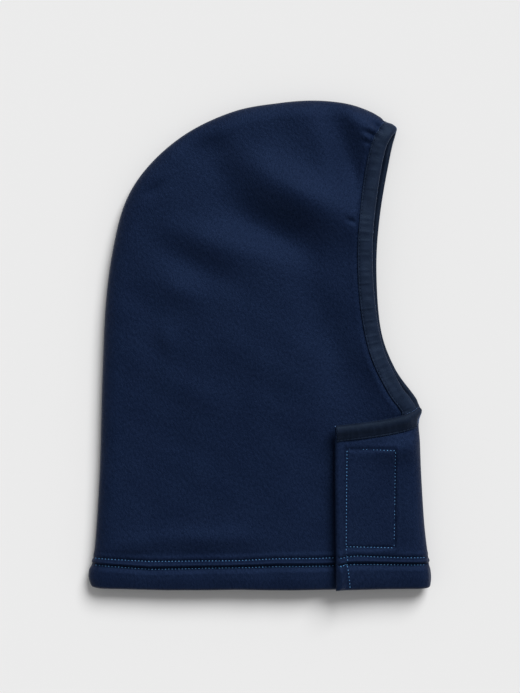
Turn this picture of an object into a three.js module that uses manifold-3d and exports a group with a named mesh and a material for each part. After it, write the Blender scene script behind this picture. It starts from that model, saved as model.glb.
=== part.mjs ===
// A fleece balaclava lying flat on its left side, in millimetres, +Z up from the surface it lies on.
// +X points out of the face opening and +Y towards the crown; the origin is under the middle of the hood.
// Two mirrored side panels meet in a seam over the crown and down the nape. One tape binds the face opening.
// The left panel runs on round the throat as a flap, which closes on the right panel with hook and loop.
import * as THREE from "three";
import { mergeVertices } from "three/addons/utils/BufferGeometryUtils.js";
import Module from "manifold-3d";

const wasm = await Module();
wasm.setup();

// ---- Driving dimensions ----
const FLEECE = 2.4; // body cloth
const FACING = 1.6; // a turned-in layer, pressed flat by its stitching
const TAPE = 0.9; // binding tape, one layer
const TAPE_WIDTH = 9.7; // how far the tape reaches in from the edge that it binds
const PATCH = 1.2; // hook or loop tape
const THREAD = [0.7, 0.5]; // a stitch row's width and height
const THREAD_GAP = 0.4; // clearance under a stitch row
const GAP = 0.3; // clearance between other pieces that touch
const LAYER_GAP = 0.5; // clearance between layers that lie on a curved face

const SEAM_Z = 6.5; // height of the crown seam above the surface
const LEFT_ROUND = 8; // how far in from the seam the lower panel reaches the surface
const RIGHT_ROUND = 14; // how far in from the seam the upper panel reaches its level
const FLAP_ROUND = 10; // the same for the flap, from the throat fold
const FOLD_Z = 8.2; // height of the outermost line of the throat fold
const HOOD_LEVEL = 15.5; // outer face of the upper panel near its edges
const HOOD_RISE = 5.5; // how much higher the middle of the hood stands
const THROAT_DROP = 5.1; // how much lower the upper panel lies under the flap
const FLAP_LIFT = 2 * LAYER_GAP + GAP + 2 * PATCH + FLEECE; // outer face of the flap above the upper panel

const HEM_Y = -180; // lowest point of the hem
const HEM_RISE = 2.2; // how much the hem's corners stand above it
const HALF_WIDTH = 124.9;
const HEM_HEIGHT = 25; // turned-in depth of the hem
const HEM_ROWS = { upper: 23, lower: 17 }; // stitch rows above the hem's fold
const UNDERLAP_X = 110; // front edge of the right panel, inside the throat fold
const FLAP_LEFT_X = 55; // free edge of the flap
const EDGE_ROW_X = 63.4; // stitch row along the flap's free edge
const PATCH_BOX = { left: 62.1, right: 100.1, low: -148, high: -73 }; // hook and loop, 38 by 75
const BOX_ROW_INSET = 1.4; // stitching inside the patch's edge
const EDGE_LIFT = TAPE + GAP; // the lower panel's bound edge stands this high on its tape
const HEM_LIFT = THREAD_GAP + THREAD[1] + 0.1; // and its hem this high on its stitching

// ---- Outlines, seen from above ----
const curve = (points) => new THREE.SplineCurve(points.map(([x, y]) => new THREE.Vector2(x, y)));

const SEAM_START = [99.6, 159.8]; // the forehead end of the crown seam
const THROAT = [117.8, -46.5]; // the upper end of the throat fold
const crownSeam = curve([
  SEAM_START, [92, 164.4], [82, 171.3], [64, 177.6], [40, 180], [14, 178.2], [-18, 172.4],
  [-52, 156.6], [-79, 134.4], [-96.4, 108.5], [-106, 76], [-112.6, 33], [-115.6, -25],
  [-117.4, -90], [-121, -144], [-124.9, -168], [-123.4, -178.5],
]);
const rightFaceEdge = curve([
  SEAM_START, [91, 146], [84.8, 115], [81, 76], [82.5, 34], [89.2, -2], [101.2, -28.6], [108.6, -39],
  [110.4, -48], [UNDERLAP_X, -60],
]);
const leftFaceEdge = curve([
  SEAM_START, [94.6, 141], [87, 98], [83.9, 58], [87.2, 13], [98.6, -16], [112.5, -36.5], THROAT,
]);
const throatFold = curve([
  [124.6, -179], [HALF_WIDTH, -170], [123.4, -156], [120.4, -130], [118.2, -95], [117.4, -62], THROAT,
]);
const flapTopEdge = curve([THROAT, [107, -51.5], [86, -56], [FLAP_LEFT_X, -59.6]]);

const hemAt = (x) => HEM_Y + HEM_RISE * (x / HALF_WIDTH) ** 4;
const smooth = (from, to, value) => THREE.MathUtils.smoothstep((value - from) / (to - from), 0, 1);

// ---- Nearest points on an outline ----
const dense = (line, count = 600) => line.getSpacedPoints(count);
const seamLine = dense(crownSeam);
const foldLine = dense(throatFold, 200);
const leftEdgeLine = dense(leftFaceEdge, 300);

// The distance from (x, y) to a line of points, and the unit direction to the right of the line there.
function nearest(line, x, y) {
  let best = Infinity;
  let at = 0;
  line.forEach((p, i) => {
    const d = (p.x - x) ** 2 + (p.y - y) ** 2;
    if (d < best) [best, at] = [d, i];
  });
  const [before, after] = [line[Math.max(0, at - 1)], line[Math.min(line.length - 1, at + 1)]];
  const along = new THREE.Vector2().subVectors(after, before);
  const outward = new THREE.Vector2(along.y, -along.x).normalize();
  const offset = new THREE.Vector2(line[at].x - x, line[at].y - y);
  const atEnd = at === 0 || at === line.length - 1;
  return { distance: atEnd ? offset.length() : Math.abs(offset.dot(outward)), outward };
}

// ---- The faces of the cloth ----
// A face gives the point over (x, y) on the outside of the hood, and the direction out of the cloth there.
// It turns upright at an outline: rim is its height there, and reach is how far in from there it levels out.
function roundedFace({ line, rim, reach, level }) {
  return (x, y, onRim = false) => {
    const { distance, outward } = nearest(line, x, y);
    const cos = onRim ? 1 : 1 - Math.min(distance / reach, 1);
    const sin = Math.sqrt(1 - cos * cos);
    const rise = level(x, y) - rim;
    const normal = new THREE.Vector3(
      (outward.x * cos) / reach,
      (outward.y * cos) / reach,
      (Math.sign(rise) * sin) / Math.abs(rise),
    ).normalize();
    const slopeX = (level(x + 0.5, y) - level(x - 0.5, y)) * normal.z;
    const slopeY = (level(x, y + 0.5) - level(x, y - 0.5)) * normal.z;
    normal.sub(new THREE.Vector3(slopeX, slopeY, 0)).normalize();
    return { point: new THREE.Vector3(x, y, rim + rise * sin), normal };
  };
}

const hoodLevel = (x, y) =>
  HOOD_LEVEL +
  HOOD_RISE * Math.exp(-(((x + 15) / 78) ** 2) - ((y - 25) / 95) ** 2) -
  THROAT_DROP * smooth(20, 108, x) * smooth(70, -25, y);

// The lower panel lies on the surface, but for its bound edge and its hem.
const surfaceLevel = (x, y) =>
  Math.max(
    EDGE_LIFT * (1 - smooth(11, 20, nearest(leftEdgeLine, x, y).distance)),
    HEM_LIFT * smooth(-142, -150, y),
  );

const rightFace = roundedFace({ line: seamLine, rim: SEAM_Z, reach: RIGHT_ROUND, level: hoodLevel });
const leftSeamFace = roundedFace({ line: seamLine, rim: SEAM_Z, reach: LEFT_ROUND, level: surfaceLevel });
const leftFoldFace = roundedFace({ line: foldLine, rim: FOLD_Z, reach: LEFT_ROUND, level: surfaceLevel });
const flapFace = roundedFace({
  line: foldLine,
  rim: FOLD_Z,
  reach: FLAP_ROUND,
  level: (x, y) => hoodLevel(Math.min(x, UNDERLAP_X), y) + FLAP_LIFT,
});

// The lower panel follows whichever of the seam and the throat fold is closer.
function leftFace(x, y, onRim = false) {
  const toFold = nearest(foldLine, x, y).distance;
  const toSeam = nearest(seamLine, x, y).distance;
  return toFold < toSeam ? leftFoldFace(x, y, onRim) : leftSeamFace(x, y, onRim);
}

// ---- Solids ----
function meshGeometry(vertices, triangles) {
  const geometry = new THREE.BufferGeometry();
  const flat = vertices.flatMap((v) => [v.x, v.y, v.z]);
  geometry.setAttribute("position", new THREE.Float32BufferAttribute(flat, 3));
  geometry.setIndex(triangles);
  return geometry;
}

// A closed sheet between two grids of points, the outer one seen from outside.
function sheetGeometry(outer, inner) {
  const rows = outer.length;
  const columns = outer[0].length;
  const count = rows * columns;
  const at = (i, j, side) => side * count + i * columns + j;
  const triangles = [];
  const quad = (a, b, c, d) => triangles.push(a, b, c, a, c, d);
  for (let i = 0; i + 1 < rows; i++)
    for (let j = 0; j + 1 < columns; j++) {
      quad(at(i, j, 0), at(i, j + 1, 0), at(i + 1, j + 1, 0), at(i + 1, j, 0));
      quad(at(i, j, 1), at(i + 1, j, 1), at(i + 1, j + 1, 1), at(i, j + 1, 1));
    }
  for (let j = 0; j + 1 < columns; j++) {
    quad(at(0, j, 0), at(0, j, 1), at(0, j + 1, 1), at(0, j + 1, 0));
    quad(at(rows - 1, j, 0), at(rows - 1, j + 1, 0), at(rows - 1, j + 1, 1), at(rows - 1, j, 1));
  }
  for (let i = 0; i + 1 < rows; i++) {
    quad(at(i, 0, 0), at(i + 1, 0, 0), at(i + 1, 0, 1), at(i, 0, 1));
    quad(at(i, columns - 1, 0), at(i, columns - 1, 1), at(i + 1, columns - 1, 1), at(i + 1, columns - 1, 0));
  }
  return facingOut(meshGeometry([...outer.flat(), ...inner.flat()], triangles));
}

// A strip through rings of points, capped at both ends, or joined into a loop.
function stripGeometry(rings, section, loop = false) {
  const around = section.length;
  const triangles = [];
  const last = loop ? rings.length : rings.length - 1;
  for (let i = 0; i < last; i++) {
    const here = i * around;
    const next = ((i + 1) % rings.length) * around;
    for (let k = 0; k < around; k++) {
      const k1 = (k + 1) % around;
      triangles.push(here + k, here + k1, next + k1);
      triangles.push(here + k, next + k1, next + k);
    }
  }
  if (!loop) {
    const outline = section.map(([x, y]) => new THREE.Vector2(x, y));
    const clockwise = THREE.ShapeUtils.isClockWise(outline);
    const end = (rings.length - 1) * around;
    THREE.ShapeUtils.triangulateShape(outline, []).forEach(([a, b, c]) => {
      const [p, q, r] = clockwise ? [a, c, b] : [a, b, c];
      triangles.push(p, r, q, end + p, end + q, end + r);
    });
  }
  return facingOut(meshGeometry(rings.flat(), triangles));
}

function volumeOf(geometry) {
  const p = geometry.getAttribute("position");
  const index = geometry.index.array;
  const corner = (i) => new THREE.Vector3().fromBufferAttribute(p, index[i]);
  let volume = 0;
  for (let i = 0; i < index.length; i += 3) volume += corner(i).dot(corner(i + 1).cross(corner(i + 2))) / 6;
  return volume;
}

function facingOut(geometry) {
  if (volumeOf(geometry) > 0) return geometry;
  const index = geometry.index.array;
  for (let i = 0; i < index.length; i += 3) [index[i + 1], index[i + 2]] = [index[i + 2], index[i + 1]];
  return geometry;
}

function toSolid(geometry) {
  const merged = mergeVertices(geometry, 1e-4);
  return new wasm.Manifold(
    new wasm.Mesh({
      numProp: 3,
      vertProperties: new Float32Array(merged.attributes.position.array),
      triVerts: new Uint32Array(merged.index.array),
    }),
  );
}

function toGeometry(solid) {
  const mesh = solid.getMesh();
  const geometry = new THREE.BufferGeometry();
  geometry.setAttribute("position", new THREE.BufferAttribute(new Float32Array(mesh.vertProperties), 3));
  geometry.setIndex([...mesh.triVerts]);
  return geometry;
}

const cut = (geometry, ...tools) =>
  toGeometry(tools.reduce((solid, tool) => solid.subtract(toSolid(tool)), toSolid(geometry)));

// Lays a grid of points over a face, and makes the sheet between two depths under it.
// Points on a rim are moved along Z by away, to part the two pieces that meet there.
function layer(face, grid, top, bottom, away = 0) {
  const lay = (depth) =>
    grid.map((row) =>
      row.map((p) => {
        const { point, normal } = face(p.x, p.y, p.onRim);
        if (p.onRim) point.z += away;
        return point.addScaledVector(normal, -depth);
      }),
    );
  return sheetGeometry(lay(top), lay(bottom));
}

// ---- Grids ----
const RIM_STEPS = [0, 0.076, 0.293, 0.617, 1]; // even turns of a rounded rim, as shares of its reach
const BODY_COLUMNS = 8;
const BROW_SEAM = 11; // the first stretch of the crown seam, under the tape

const onRim = (point) => Object.assign(point.clone(), { onRim: true });
const steps = (from, to, count) =>
  Array.from({ length: count + 1 }, (_, k) => from + ((to - from) * k) / count);
const closest = (line, miss) => line.reduce((best, p) => (miss(p) < miss(best) ? p : best));
const pointAtY = (line, y) => closest(line, (p) => Math.abs(p.y - y));
const pointAtX = (line, x) => closest(line, (p) => Math.abs(p.x - x));

// Points from a front point to a back point, close together within a reach of each end.
function rib(front, back, frontReach, backReach) {
  const length = front.distanceTo(back);
  const squeeze = Math.min(1, length / (2.5 * (frontReach + backReach)));
  const ahead = RIM_STEPS.map((s) => s * frontReach * squeeze);
  const behind = RIM_STEPS.map((s) => length - s * backReach * squeeze).reverse();
  const between = steps(ahead.at(-1), behind[0], BODY_COLUMNS).slice(1, -1);
  return [...ahead, ...between, ...behind].map((s) => new THREE.Vector2().lerpVectors(front, back, s / length));
}

// Stations down a line: close together at its two ends.
const browSteps = (reach) => RIM_STEPS.map((s) => s * reach);
const THROAT_STEPS = [10, 6, 3, 1, 0];
const CHEEK_STEPS = 12;
const CROWN_STEPS = [0, 9, 19, 30, 42];
const NAPE_STEPS = [40, 28, 17, 8, 0];
const NECK_ROWS = [-62, -85, -108, -127, -142, -150, -165, HEM_Y];

function stations(line, start, end, first, last) {
  const head = first.map((d) => start + d);
  const tail = last.map((d) => end - d);
  const body = steps(head.at(-1), tail[0], CHEEK_STEPS).slice(1, -1);
  return [...head, ...body, ...tail].map((d) => line.getPointAt(Math.min(1, d / line.getLength())));
}

const seamLength = crownSeam.getLength();
const napeAt = (seamLength * seamLine.indexOf(pointAtY(seamLine, THROAT[1]))) / (seamLine.length - 1);
const throatAt = rightFaceEdge.getLength() * 0.94; // the right edge runs on a little under the flap
const rightFront = stations(rightFaceEdge, 0, throatAt, browSteps(RIGHT_ROUND), THROAT_STEPS);
const leftFront = stations(leftFaceEdge, 0, leftFaceEdge.getLength(), browSteps(LEFT_ROUND), THROAT_STEPS);
const nape = stations(crownSeam, BROW_SEAM, napeAt, CROWN_STEPS, NAPE_STEPS);
const browSeam = (distance) => crownSeam.getPointAt(distance / seamLength);

// The grid of a side panel: ribs from the face edge, then from the front edge of the neck, to the seam.
function panelGrid(front, neckFrontX, frontReach, backReach) {
  const face = front.map((p, i) => rib(p, nape[i], frontReach, backReach));
  const neck = NECK_ROWS.map((y) => {
    const from = new THREE.Vector2(neckFrontX(y), y);
    const to = new THREE.Vector2(pointAtY(seamLine, y).x, y);
    const points = rib(from, to, frontReach, backReach);
    if (y === HEM_Y) points.forEach((p) => (p.y = hemAt(p.x)));
    return points;
  });
  face[0] = steps(0, BROW_SEAM, face[0].length - 1).map((distance) => onRim(browSeam(distance)));
  return [...face, ...neck].map((points) => [...points.slice(0, -1), onRim(points.at(-1))]);
}

const rightGrid = panelGrid(rightFront, () => UNDERLAP_X, RIGHT_ROUND, RIGHT_ROUND);
const foldX = (y) => pointAtY(foldLine, y).x;
const leftGrid = panelGrid(leftFront, foldX, LEFT_ROUND, LEFT_ROUND).map((points, i) =>
  i < leftFront.length - 1 ? points : [onRim(points[0]), ...points.slice(1)],
);

// The flap's rows meet the left panel's at the throat fold, and its columns run to its free edge.
const FLAP_COLUMNS = 6;
const flapTopLine = dense(flapTopEdge, 200);
const flapTopY = (x) => pointAtX(flapTopLine, x).y;
const flapGrid = [THROAT[1], ...NECK_ROWS].map((rowY) => {
  const share = (rowY - THROAT[1]) / (HEM_Y - THROAT[1]);
  const fromFold = [
    ...RIM_STEPS.map((s) => s * FLAP_ROUND),
    ...steps(FLAP_ROUND, THROAT[0] - FLAP_LEFT_X, FLAP_COLUMNS).slice(1),
  ];
  return fromFold.map((inset, j) => {
    const topX = THROAT[0] - inset;
    const y = j === 0 ? rowY : THREE.MathUtils.lerp(flapTopY(topX), hemAt(topX), share);
    const beyond = foldX(y) - THROAT[0]; // how much further out the fold is here
    const stretch = Math.min(1, Math.max(0, (inset - FLAP_ROUND) / (THROAT[0] - FLAP_ROUND - FLAP_LEFT_X)));
    const point = new THREE.Vector2(topX + beyond * (1 - stretch), y);
    if (share === 1) point.y = hemAt(point.x);
    return j === 0 ? onRim(point) : point;
  });
});

// A grid over a rectangle, its lowest row along the hem where low is left out.
const boxGrid = (xs, ys) => ys.map((y) => xs.map((x) => new THREE.Vector2(x, y ?? hemAt(x) + GAP)));

// ---- Tape and thread ----
// The tape's section before its slot is cut, as [distance in from the edge, depth under the face].
const tapeReach = TAPE + GAP;
const tapeSection = [
  [TAPE_WIDTH, -tapeReach],
  [-tapeReach, -tapeReach],
  [-tapeReach, FLEECE + tapeReach],
  [TAPE_WIDTH, FLEECE + tapeReach],
];
// A thread's section, lying on the outside of the cloth or on its inside.
function threadSection(from, inside = false) {
  const top = inside ? FLEECE + THREAD_GAP : -THREAD_GAP - THREAD[1];
  const to = from + THREAD[0];
  return [[from, top], [from, top + THREAD[1]], [to, top + THREAD[1]], [to, top]];
}

// A ring of a section at an edge point: place gives the point on the cloth at a distance in from the edge.
function ring(face, section, place, away = 0) {
  return section.map(([inward, depth]) => {
    const p = place(inward);
    const { point, normal } = face(p.x, p.y, p.onRim);
    if (p.onRim) point.z += away;
    return point.addScaledVector(normal, -depth);
  });
}

// The way in from an edge at one of its points: square to it, on the side given.
function squareIn(line, point, side) {
  const { outward } = nearest(line, point.x, point.y);
  return outward.multiplyScalar(side);
}

const placeFrom = (point, direction) => (inward) => point.clone().addScaledVector(direction, inward);
const DOWN = new THREE.Vector2(0, -1);

// A row of stitching through points on a face, or round them where it is closed.
function stitchRow(face, points, { closed = false, inside = false } = {}) {
  const section = threadSection(-THREAD[0] / 2, inside);
  const neighbour = (i) => (closed ? points[(i + points.length) % points.length] : points[i]);
  const rings = points.map((p, i) => {
    const along = new THREE.Vector2().subVectors(neighbour(i + 1) ?? p, neighbour(i - 1) ?? p).normalize();
    return ring(face, section, placeFrom(p, new THREE.Vector2(-along.y, along.x)));
  });
  return stripGeometry(rings, section, closed);
}

// The room that a panel takes inside its tape: the panel, with the clearance all round it.
function slot(face, grid, away) {
  const grown = grid.map(([first, second, ...rest], i) => {
    const out = new THREE.Vector2().subVectors(first, second).setLength(2 * GAP);
    if (first.onRim && i > 0) out.set(0, first.y > THROAT[1] - GAP ? 2 * GAP : 0);
    return [Object.assign(first.clone().add(out), { onRim: first.onRim }), second, ...rest];
  });
  return layer(face, grown, -GAP, FLEECE + GAP, away);
}

// ---- Pieces ----
const root = new THREE.Group();
const material = (color, roughness) => new THREE.MeshStandardMaterial({ color, roughness, metalness: 0 });
const fleeceNavy = material(0x17233f, 0.95);
const tapeNavy = material(0x1b2837, 0.8);
const fastenerNavy = material(0x141b2c, 0.7);
const threadBlue = material(0x3f7fae, 0.6);
const threadNavy = material(0x0d1424, 0.6);

function add(name, geometry, colour) {
  const mesh = new THREE.Mesh(geometry, colour);
  mesh.name = name;
  root.add(mesh);
}

add("right_panel", layer(rightFace, rightGrid, 0, FLEECE, GAP / 2), fleeceNavy);
add("left_panel", layer(leftFace, leftGrid, 0, FLEECE, -GAP / 2), fleeceNavy);
add("flap_panel", layer(flapFace, flapGrid, 0, FLEECE, GAP / 2), fleeceNavy);

// The tape round the face opening: up the right edge, over the brow and down the left edge to the throat fold.
function faceEdgeRings(section) {
  const rightEdge = dense(rightFaceEdge, 300);
  const rightLength = rightFaceEdge.getLength();
  const rightStations = stations(rightFaceEdge, 0, rightLength, browSteps(RIGHT_ROUND), THROAT_STEPS);
  const right = rightStations.slice(1).map((p) => {
    const inward = squareIn(rightEdge, p, 1);
    return ring(rightFace, section, placeFrom(p, inward));
  });
  const brow = ring(rightFace, section, (inward) => {
    const start = browSeam(Math.max(0, inward));
    const along = new THREE.Vector2().subVectors(browSeam(1), browSeam(0));
    return onRim(inward < 0 ? start.addScaledVector(along, inward) : start);
  });
  const left = leftFront.slice(1).map((p, i) => {
    const last = i === leftFront.length - 2;
    const turn = 1 - Math.min(1, p.distanceTo(leftFront.at(-1)) / THROAT_STEPS[0]);
    const direction = squareIn(leftEdgeLine, p, 1).lerp(DOWN, turn).normalize();
    const place = placeFrom(p, direction);
    const along = (inward) => {
      const point = place(inward);
      return last ? onRim(point.set(foldX(point.y), point.y)) : point;
    };
    return ring(leftFace, section, along, -GAP / 2);
  });
  return { right: right.reverse(), brow, left };
}
const faceRings = faceEdgeRings(tapeSection);
const faceTape = stripGeometry([...faceRings.right, faceRings.brow, ...faceRings.left], tapeSection);
const panelSlots = [slot(rightFace, rightGrid, -GAP / 2), slot(leftFace, leftGrid, GAP / 2)];
add("face_binding", cut(faceTape, ...panelSlots), tapeNavy);

// The same tape along the flap's top edge, from the throat fold to the flap's free edge.
const flapEdgeSteps = [
  ...RIM_STEPS.map((s) => s * FLAP_ROUND),
  ...steps(FLAP_ROUND, THROAT[0] - FLAP_LEFT_X, FLAP_COLUMNS).slice(1),
];
function flapEdgeRings(section) {
  return flapEdgeSteps.map((inset, j) => {
    const x = THROAT[0] - inset;
    const tilt = new THREE.Vector2(flapTopY(x - 1) - flapTopY(x + 1), 2).normalize();
    const turn = Math.min(1, inset / FLAP_ROUND);
    const direction = new THREE.Vector2(-tilt.x * turn, -1).normalize();
    const place = placeFrom(new THREE.Vector2(x, j === 0 ? THROAT[1] : flapTopY(x)), direction);
    const along = (inward) => {
      const point = place(inward);
      return j === 0 ? onRim(point.set(foldX(point.y), point.y)) : point;
    };
    return ring(flapFace, section, along, GAP / 2);
  });
}
const flapSlot = () => {
  const raise = new THREE.Vector2(0, 2 * GAP);
  const topRow = flapGrid[0].map((p) => Object.assign(p.clone().add(raise), { onRim: p.onRim }));
  return layer(flapFace, [topRow, ...flapGrid.slice(1)], -GAP, FLEECE + GAP, -GAP / 2);
};
const flapTape = stripGeometry(flapEdgeRings(tapeSection), tapeSection);
add("flap_binding", cut(flapTape, flapSlot()), tapeNavy);

// Each turned-in layer lies inside the cloth that it is turned from.
const turnedIn = (face, grid) => layer(face, grid, FLEECE + GAP, FLEECE + GAP + FACING);
const hemTop = HEM_Y + HEM_HEIGHT;
const hemYs = [hemTop, HEM_Y + HEM_HEIGHT / 2, undefined];
const seamXAtHem = pointAtY(seamLine, hemTop).x;
const atSeamInsets = [8.6, 5.5];
const hemXs = (frontX) => [
  frontX,
  ...steps(frontX - 8, seamXAtHem + RIGHT_ROUND, 9),
  ...atSeamInsets.map((inset) => seamXAtHem + inset),
];
add("right_hem_facing", turnedIn(rightFace, boxGrid(hemXs(UNDERLAP_X - 1), hemYs)), fleeceNavy);
add("left_hem_facing", turnedIn(leftFace, boxGrid(hemXs(foldX(hemTop) - 7), hemYs)), fleeceNavy);
const flapHemXs = steps(foldX(hemTop) - FLAP_ROUND, FLAP_LEFT_X + GAP, 5);
add("flap_hem_facing", turnedIn(flapFace, boxGrid(flapHemXs, hemYs)), fleeceNavy);

// The free edges of the flap and of the underlap are turned in too, the flap's up against its patch.
const edgeTop = flapTopY(FLAP_LEFT_X) - TAPE_WIDTH - 2 * GAP;
const middleOfPatch = (PATCH_BOX.high + PATCH_BOX.low) / 2;
const edgeRows = [
  edgeTop,
  PATCH_BOX.high + 2 * GAP,
  PATCH_BOX.high + GAP,
  middleOfPatch,
  PATCH_BOX.low - GAP,
  hemTop + GAP,
];
const flapEdgeGrid = edgeRows.map((y) => {
  const besidePatch = y < PATCH_BOX.high + 1.5 * GAP && y > PATCH_BOX.low - 1.5 * GAP;
  const right = besidePatch ? PATCH_BOX.left - GAP : EDGE_ROW_X + 1.3;
  return [right, FLAP_LEFT_X + GAP].map((x) => new THREE.Vector2(x, y));
});
add("flap_edge_facing", turnedIn(flapFace, flapEdgeGrid), fleeceNavy);
const underlapXs = [UNDERLAP_X - GAP, UNDERLAP_X - 8];
const underlapYs = steps(-64, hemTop + 2 * GAP, 4);
add("underlap_edge_facing", turnedIn(rightFace, boxGrid(underlapXs, underlapYs)), fleeceNavy);

// Hook tape inside the flap meets loop tape outside the right panel.
const patchXs = steps(PATCH_BOX.right, PATCH_BOX.left, 3);
const patchYs = steps(PATCH_BOX.high, PATCH_BOX.low, 5);
const patchGrid = boxGrid(patchXs, patchYs);
add("hook_patch", layer(flapFace, patchGrid, FLEECE + LAYER_GAP, FLEECE + LAYER_GAP + PATCH), fastenerNavy);
add("loop_patch", layer(rightFace, patchGrid, -LAYER_GAP - PATCH, -LAYER_GAP), fastenerNavy);

// The seam's two cut edges, overlocked together, stand inside the hood along the crown and the nape.
const ALLOWANCE = { from: 4.2, to: 10, thick: 2.6 };
const aboveHem = (seamLength * seamLine.findIndex((p) => p.y < hemTop + 2)) / (seamLine.length - 1);
const allowanceRings = steps(BROW_SEAM + 2, aboveHem, 26).map((distance) => {
  const p = crownSeam.getPointAt(distance / seamLength);
  const { outward } = nearest(seamLine, p.x, p.y);
  return [[-1, -1], [1, -1], [1, 1], [-1, 1]].map(([across, up]) => {
    const inward = across < 0 ? ALLOWANCE.from : ALLOWANCE.to;
    const height = SEAM_Z + (up * ALLOWANCE.thick) / 2;
    return new THREE.Vector3(p.x - outward.x * inward, p.y - outward.y * inward, height);
  });
});
add("crown_seam_allowance", stripGeometry(allowanceRings, threadSection(0)), fleeceNavy);

// ---- Stitching ----
const ROW_INSETS = [2.5, 4, 6, 8.6, 14]; // where a row follows the cloth round a rim
const HEM_ROW_STEPS = 10;
const rowPoints = (xs, rise) => xs.map((x) => new THREE.Vector2(x, hemAt(x) + rise));
Object.entries(HEM_ROWS).forEach(([row, rise]) => {
  const atSeam = ROW_INSETS.map((inset) => pointAtY(seamLine, HEM_Y + rise).x + inset);
  const atFold = ROW_INSETS.map((inset) => foldX(HEM_Y + rise) - inset);
  const across = (frontX) => steps(frontX, atSeam.at(-1), HEM_ROW_STEPS).slice(1, -1);
  const seamEnd = [...atSeam].reverse();
  const rightXs = [UNDERLAP_X - 2, ...across(UNDERLAP_X - 2), ...seamEnd];
  const leftXs = [...atFold, ...across(atFold.at(-1)), ...seamEnd];
  const flapXs = [...atFold, ...steps(atFold.at(-1), EDGE_ROW_X + 1, 4).slice(1)];
  add(`right_hem_stitch_${row}`, stitchRow(rightFace, rowPoints(rightXs, rise)), threadBlue);
  add(`left_hem_stitch_${row}`, stitchRow(leftFace, rowPoints(leftXs, rise)), threadBlue);
  add(`flap_hem_stitch_${row}`, stitchRow(flapFace, rowPoints(flapXs, rise)), threadBlue);
});

// A box of stitching holds each patch, and the flap's edge row runs on from its box to the hem.
const box = {
  left: PATCH_BOX.left + BOX_ROW_INSET,
  right: PATCH_BOX.right - BOX_ROW_INSET,
  low: PATCH_BOX.low + BOX_ROW_INSET,
  high: PATCH_BOX.high - BOX_ROW_INSET,
};
const side = (x0, y0, x1, y1) =>
  steps(0, 1, 4).slice(1).map((t) => new THREE.Vector2().lerpVectors({ x: x0, y: y0 }, { x: x1, y: y1 }, t));
const boxRow = [
  ...side(box.left, box.low, box.right, box.low),
  ...side(box.right, box.low, box.right, box.high),
  ...side(box.right, box.high, box.left, box.high),
  ...side(box.left, box.high, box.left, box.low),
];
add("hook_patch_stitching", stitchRow(flapFace, boxRow, { closed: true }), threadBlue);
add("loop_patch_stitching", stitchRow(rightFace, boxRow, { closed: true, inside: true }), threadNavy);
const edgeRow = [box.low - 1, hemTop, HEM_Y + HEM_ROWS.upper + 1].map((y) => new THREE.Vector2(EDGE_ROW_X, y));
add("flap_edge_stitch", stitchRow(flapFace, edgeRow), threadBlue);
const tapeRow = threadSection(TAPE_WIDTH + GAP);
const faceRow = faceEdgeRings(tapeRow);
const rimRings = RIM_STEPS.length - 1; // the rows stop where the cloth turns round the seam and the fold
add("right_binding_stitch", stripGeometry(faceRow.right.slice(0, -rimRings), tapeRow), threadNavy);
add("left_binding_stitch", stripGeometry(faceRow.left.slice(rimRings, -rimRings), tapeRow), threadNavy);
add("flap_binding_stitch", stripGeometry(flapEdgeRings(tapeRow).slice(rimRings), tapeRow), threadNavy);

export default root;
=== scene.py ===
"""The looks of a fleece balaclava lying flat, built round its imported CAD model.

Lengths are in mm until a mesh is made.
"""

from math import pi, radians

import bmesh
import bpy
import numpy as np
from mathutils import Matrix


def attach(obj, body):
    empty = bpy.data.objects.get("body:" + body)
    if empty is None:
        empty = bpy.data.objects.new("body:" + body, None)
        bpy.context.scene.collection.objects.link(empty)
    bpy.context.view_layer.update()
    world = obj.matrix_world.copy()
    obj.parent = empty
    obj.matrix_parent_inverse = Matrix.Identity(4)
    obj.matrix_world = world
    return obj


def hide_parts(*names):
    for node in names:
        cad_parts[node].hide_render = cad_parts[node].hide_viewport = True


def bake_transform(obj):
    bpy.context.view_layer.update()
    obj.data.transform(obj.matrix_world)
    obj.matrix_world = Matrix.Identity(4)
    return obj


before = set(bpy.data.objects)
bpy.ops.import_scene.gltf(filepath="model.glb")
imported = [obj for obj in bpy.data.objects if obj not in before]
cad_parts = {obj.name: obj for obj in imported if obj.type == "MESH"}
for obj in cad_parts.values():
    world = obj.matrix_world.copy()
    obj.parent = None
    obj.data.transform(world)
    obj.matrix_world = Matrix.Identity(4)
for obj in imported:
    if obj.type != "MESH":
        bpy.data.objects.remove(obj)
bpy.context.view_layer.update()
MM = 0.001
rng = np.random.default_rng(7)

# ---------------------------------------------------------------- the object's dimensions
CLOTH = 2.4  # fleece thickness
TURNED = 4.8  # thickness where an edge is turned in and stitched down
TAPE_WIDTH = 9.7
SEAM_Z, FOLD_Z = 6.5, 8.2
LEFT_ROUND, RIGHT_ROUND, FLAP_ROUND = 8.0, 14.0, 10.0
FLAP_LIFT = 6.1
UNDERLAP_X, FLAP_LEFT_X, EDGE_ROW_X = 110.0, 55.0, 62.9
BROW_SEAM = 11.0
HEM_HEIGHT = 24.5
HEM_LOW = -178.6  # the lowest point of the hem
HEM_ZONE = -140  # below this y the hem shapes the cloth
BOX = dict(left=62.9, right=98.2, low=-146.6, high=-75.2)  # the stitching round the hook patch
PATCH = dict(left=62.1, right=100.1, low=-148, high=-73)  # the hook patch, and the loop patch under it
SEAM_STEPS, EDGE_STEPS = 900, 500  # how finely the outlines are divided
TAPE_STEP = 0.45

SEAM_START = (99.6, 159.8)
THROAT = (117.8, -46.5)
FLAP_WIDTH = THROAT[0] - FLAP_LEFT_X


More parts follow.
